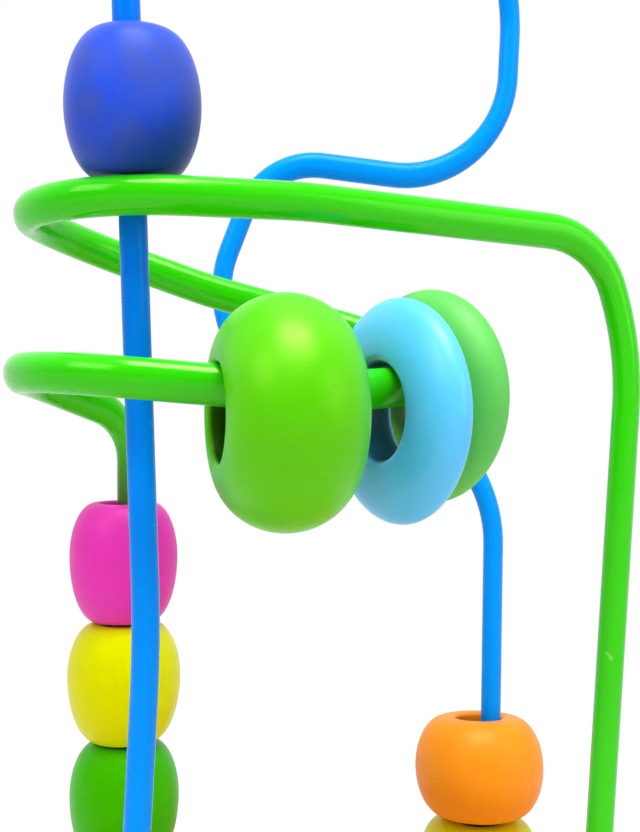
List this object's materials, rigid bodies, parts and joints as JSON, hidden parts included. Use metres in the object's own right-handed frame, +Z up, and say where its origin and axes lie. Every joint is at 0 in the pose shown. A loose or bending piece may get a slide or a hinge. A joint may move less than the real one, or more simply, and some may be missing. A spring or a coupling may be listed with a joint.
{
  "type": "bead maze",
  "caption": "Tabletop bead maze: bent, plastic-sleeved wires standing on a wooden board, with painted wooden ring, barrel and rondelle beads that slide along them.",
  "frame": {"origin": "middle of the footprint, on the surface that the feet stand on", "axes": "+Z up, +X to the right and +Y away from the viewer, as the picture looks at it"},
  "size_m": [0.13, 0.122, 0.2077],
  "materials": {
    "beech": "sanded beech with a clear matt lacquer",
    "steel_rod": "drawn steel rod",
    "spring_steel": "stamped spring steel",
    "foot_rubber": "moulded rubber",
    "green_sleeve": "extruded glossy plastic sleeve",
    "blue_sleeve": "extruded glossy plastic sleeve",
    "lime_paint": "turned hardwood with a satin water-based paint",
    "sky_paint": "turned hardwood with a satin water-based paint",
    "grass_paint": "turned hardwood with a satin water-based paint",
    "leaf_paint": "turned hardwood with a satin water-based paint",
    "yellow_paint": "turned hardwood with a satin water-based paint",
    "pink_paint": "turned hardwood with a satin water-based paint",
    "navy_paint": "turned hardwood with a satin water-based paint",
    "orange_paint": "turned hardwood with a satin water-based paint"
  },
  "bodies": {
    "maze_frame": {"base_board": "beech", "green_wire_core": "steel_rod", "blue_wire_core": "steel_rod", "green_wire_sleeve": "green_sleeve", "blue_wire_sleeve": "blue_sleeve", "foot_front_left": "foot_rubber", "foot_front_right": "foot_rubber", "foot_back_left": "foot_rubber", "foot_back_right": "foot_rubber", "push_nut_green_left": "spring_steel", "hole_plug_green_left": "beech", "push_nut_green_right": "spring_steel", "hole_plug_green_right": "beech", "push_nut_blue_left": "spring_steel", "hole_plug_blue_left": "beech", "push_nut_blue_right": "spring_steel", "hole_plug_blue_right": "beech"},
    "lime_ring": {"bead_lime_ring": "lime_paint"},
    "sky_ring": {"bead_sky_ring": "sky_paint"},
    "green_ring": {"bead_green_ring": "grass_paint"},
    "sky_barrel": {"bead_sky_barrel": "sky_paint"},
    "green_barrel": {"bead_green_barrel": "leaf_paint"},
    "yellow_barrel": {"bead_yellow_barrel": "yellow_paint"},
    "pink_barrel": {"bead_pink_barrel": "pink_paint"},
    "navy_barrel": {"bead_navy_barrel": "navy_paint"},
    "yellow_disc": {"bead_yellow_disc": "yellow_paint"},
    "orange_rondelle": {"bead_orange_rondelle": "orange_paint"}
  },
  "joints": [
    {"name": "lime_ring_slide", "type": "slide", "parent": "maze_frame", "child": "lime_ring", "axis": [-0.9961, 0, 0.0877], "range_m": [0, 0.007]},
    {"name": "sky_ring_turn", "type": "hinge", "parent": "maze_frame", "child": "sky_ring", "pos_m": [-0.01243, -0.01658, 0.11642], "axis": [0.0859, -0.2024, 0.9755], "range_deg": [0, 14]},
    {"name": "green_ring_turn", "type": "hinge", "parent": "sky_ring", "child": "green_ring", "pos_m": [-0.01243, -0.01658, 0.11642], "axis": [0.0859, -0.2024, 0.9755], "range_deg": [0, 14]},
    {"name": "sky_barrel_lift", "type": "slide", "parent": "maze_frame", "child": "sky_barrel", "axis": [0, 0, 1], "range_m": [0, 0.0016]},
    {"name": "green_barrel_lift", "type": "slide", "parent": "sky_barrel", "child": "green_barrel", "axis": [0, 0, 1], "range_m": [0, 0.0016]},
    {"name": "yellow_barrel_lift", "type": "slide", "parent": "green_barrel", "child": "yellow_barrel", "axis": [0, 0, 1], "range_m": [0, 0.0016]},
    {"name": "pink_barrel_lift", "type": "slide", "parent": "yellow_barrel", "child": "pink_barrel", "axis": [0, 0, 1], "range_m": [0, 0.0018]},
    {"name": "navy_barrel_lift", "type": "slide", "parent": "maze_frame", "child": "navy_barrel", "axis": [-0.0301, 0, 0.9995], "range_m": [0, 0.02]},
    {"name": "yellow_disc_lift", "type": "slide", "parent": "maze_frame", "child": "yellow_disc", "axis": [0.0116, 0, 0.9999], "range_m": [0, 0.014]},
    {"name": "orange_rondelle_lift", "type": "slide", "parent": "yellow_disc", "child": "orange_rondelle", "axis": [0.0116, 0, 0.9999], "range_m": [0, 0.022]}
  ]
}
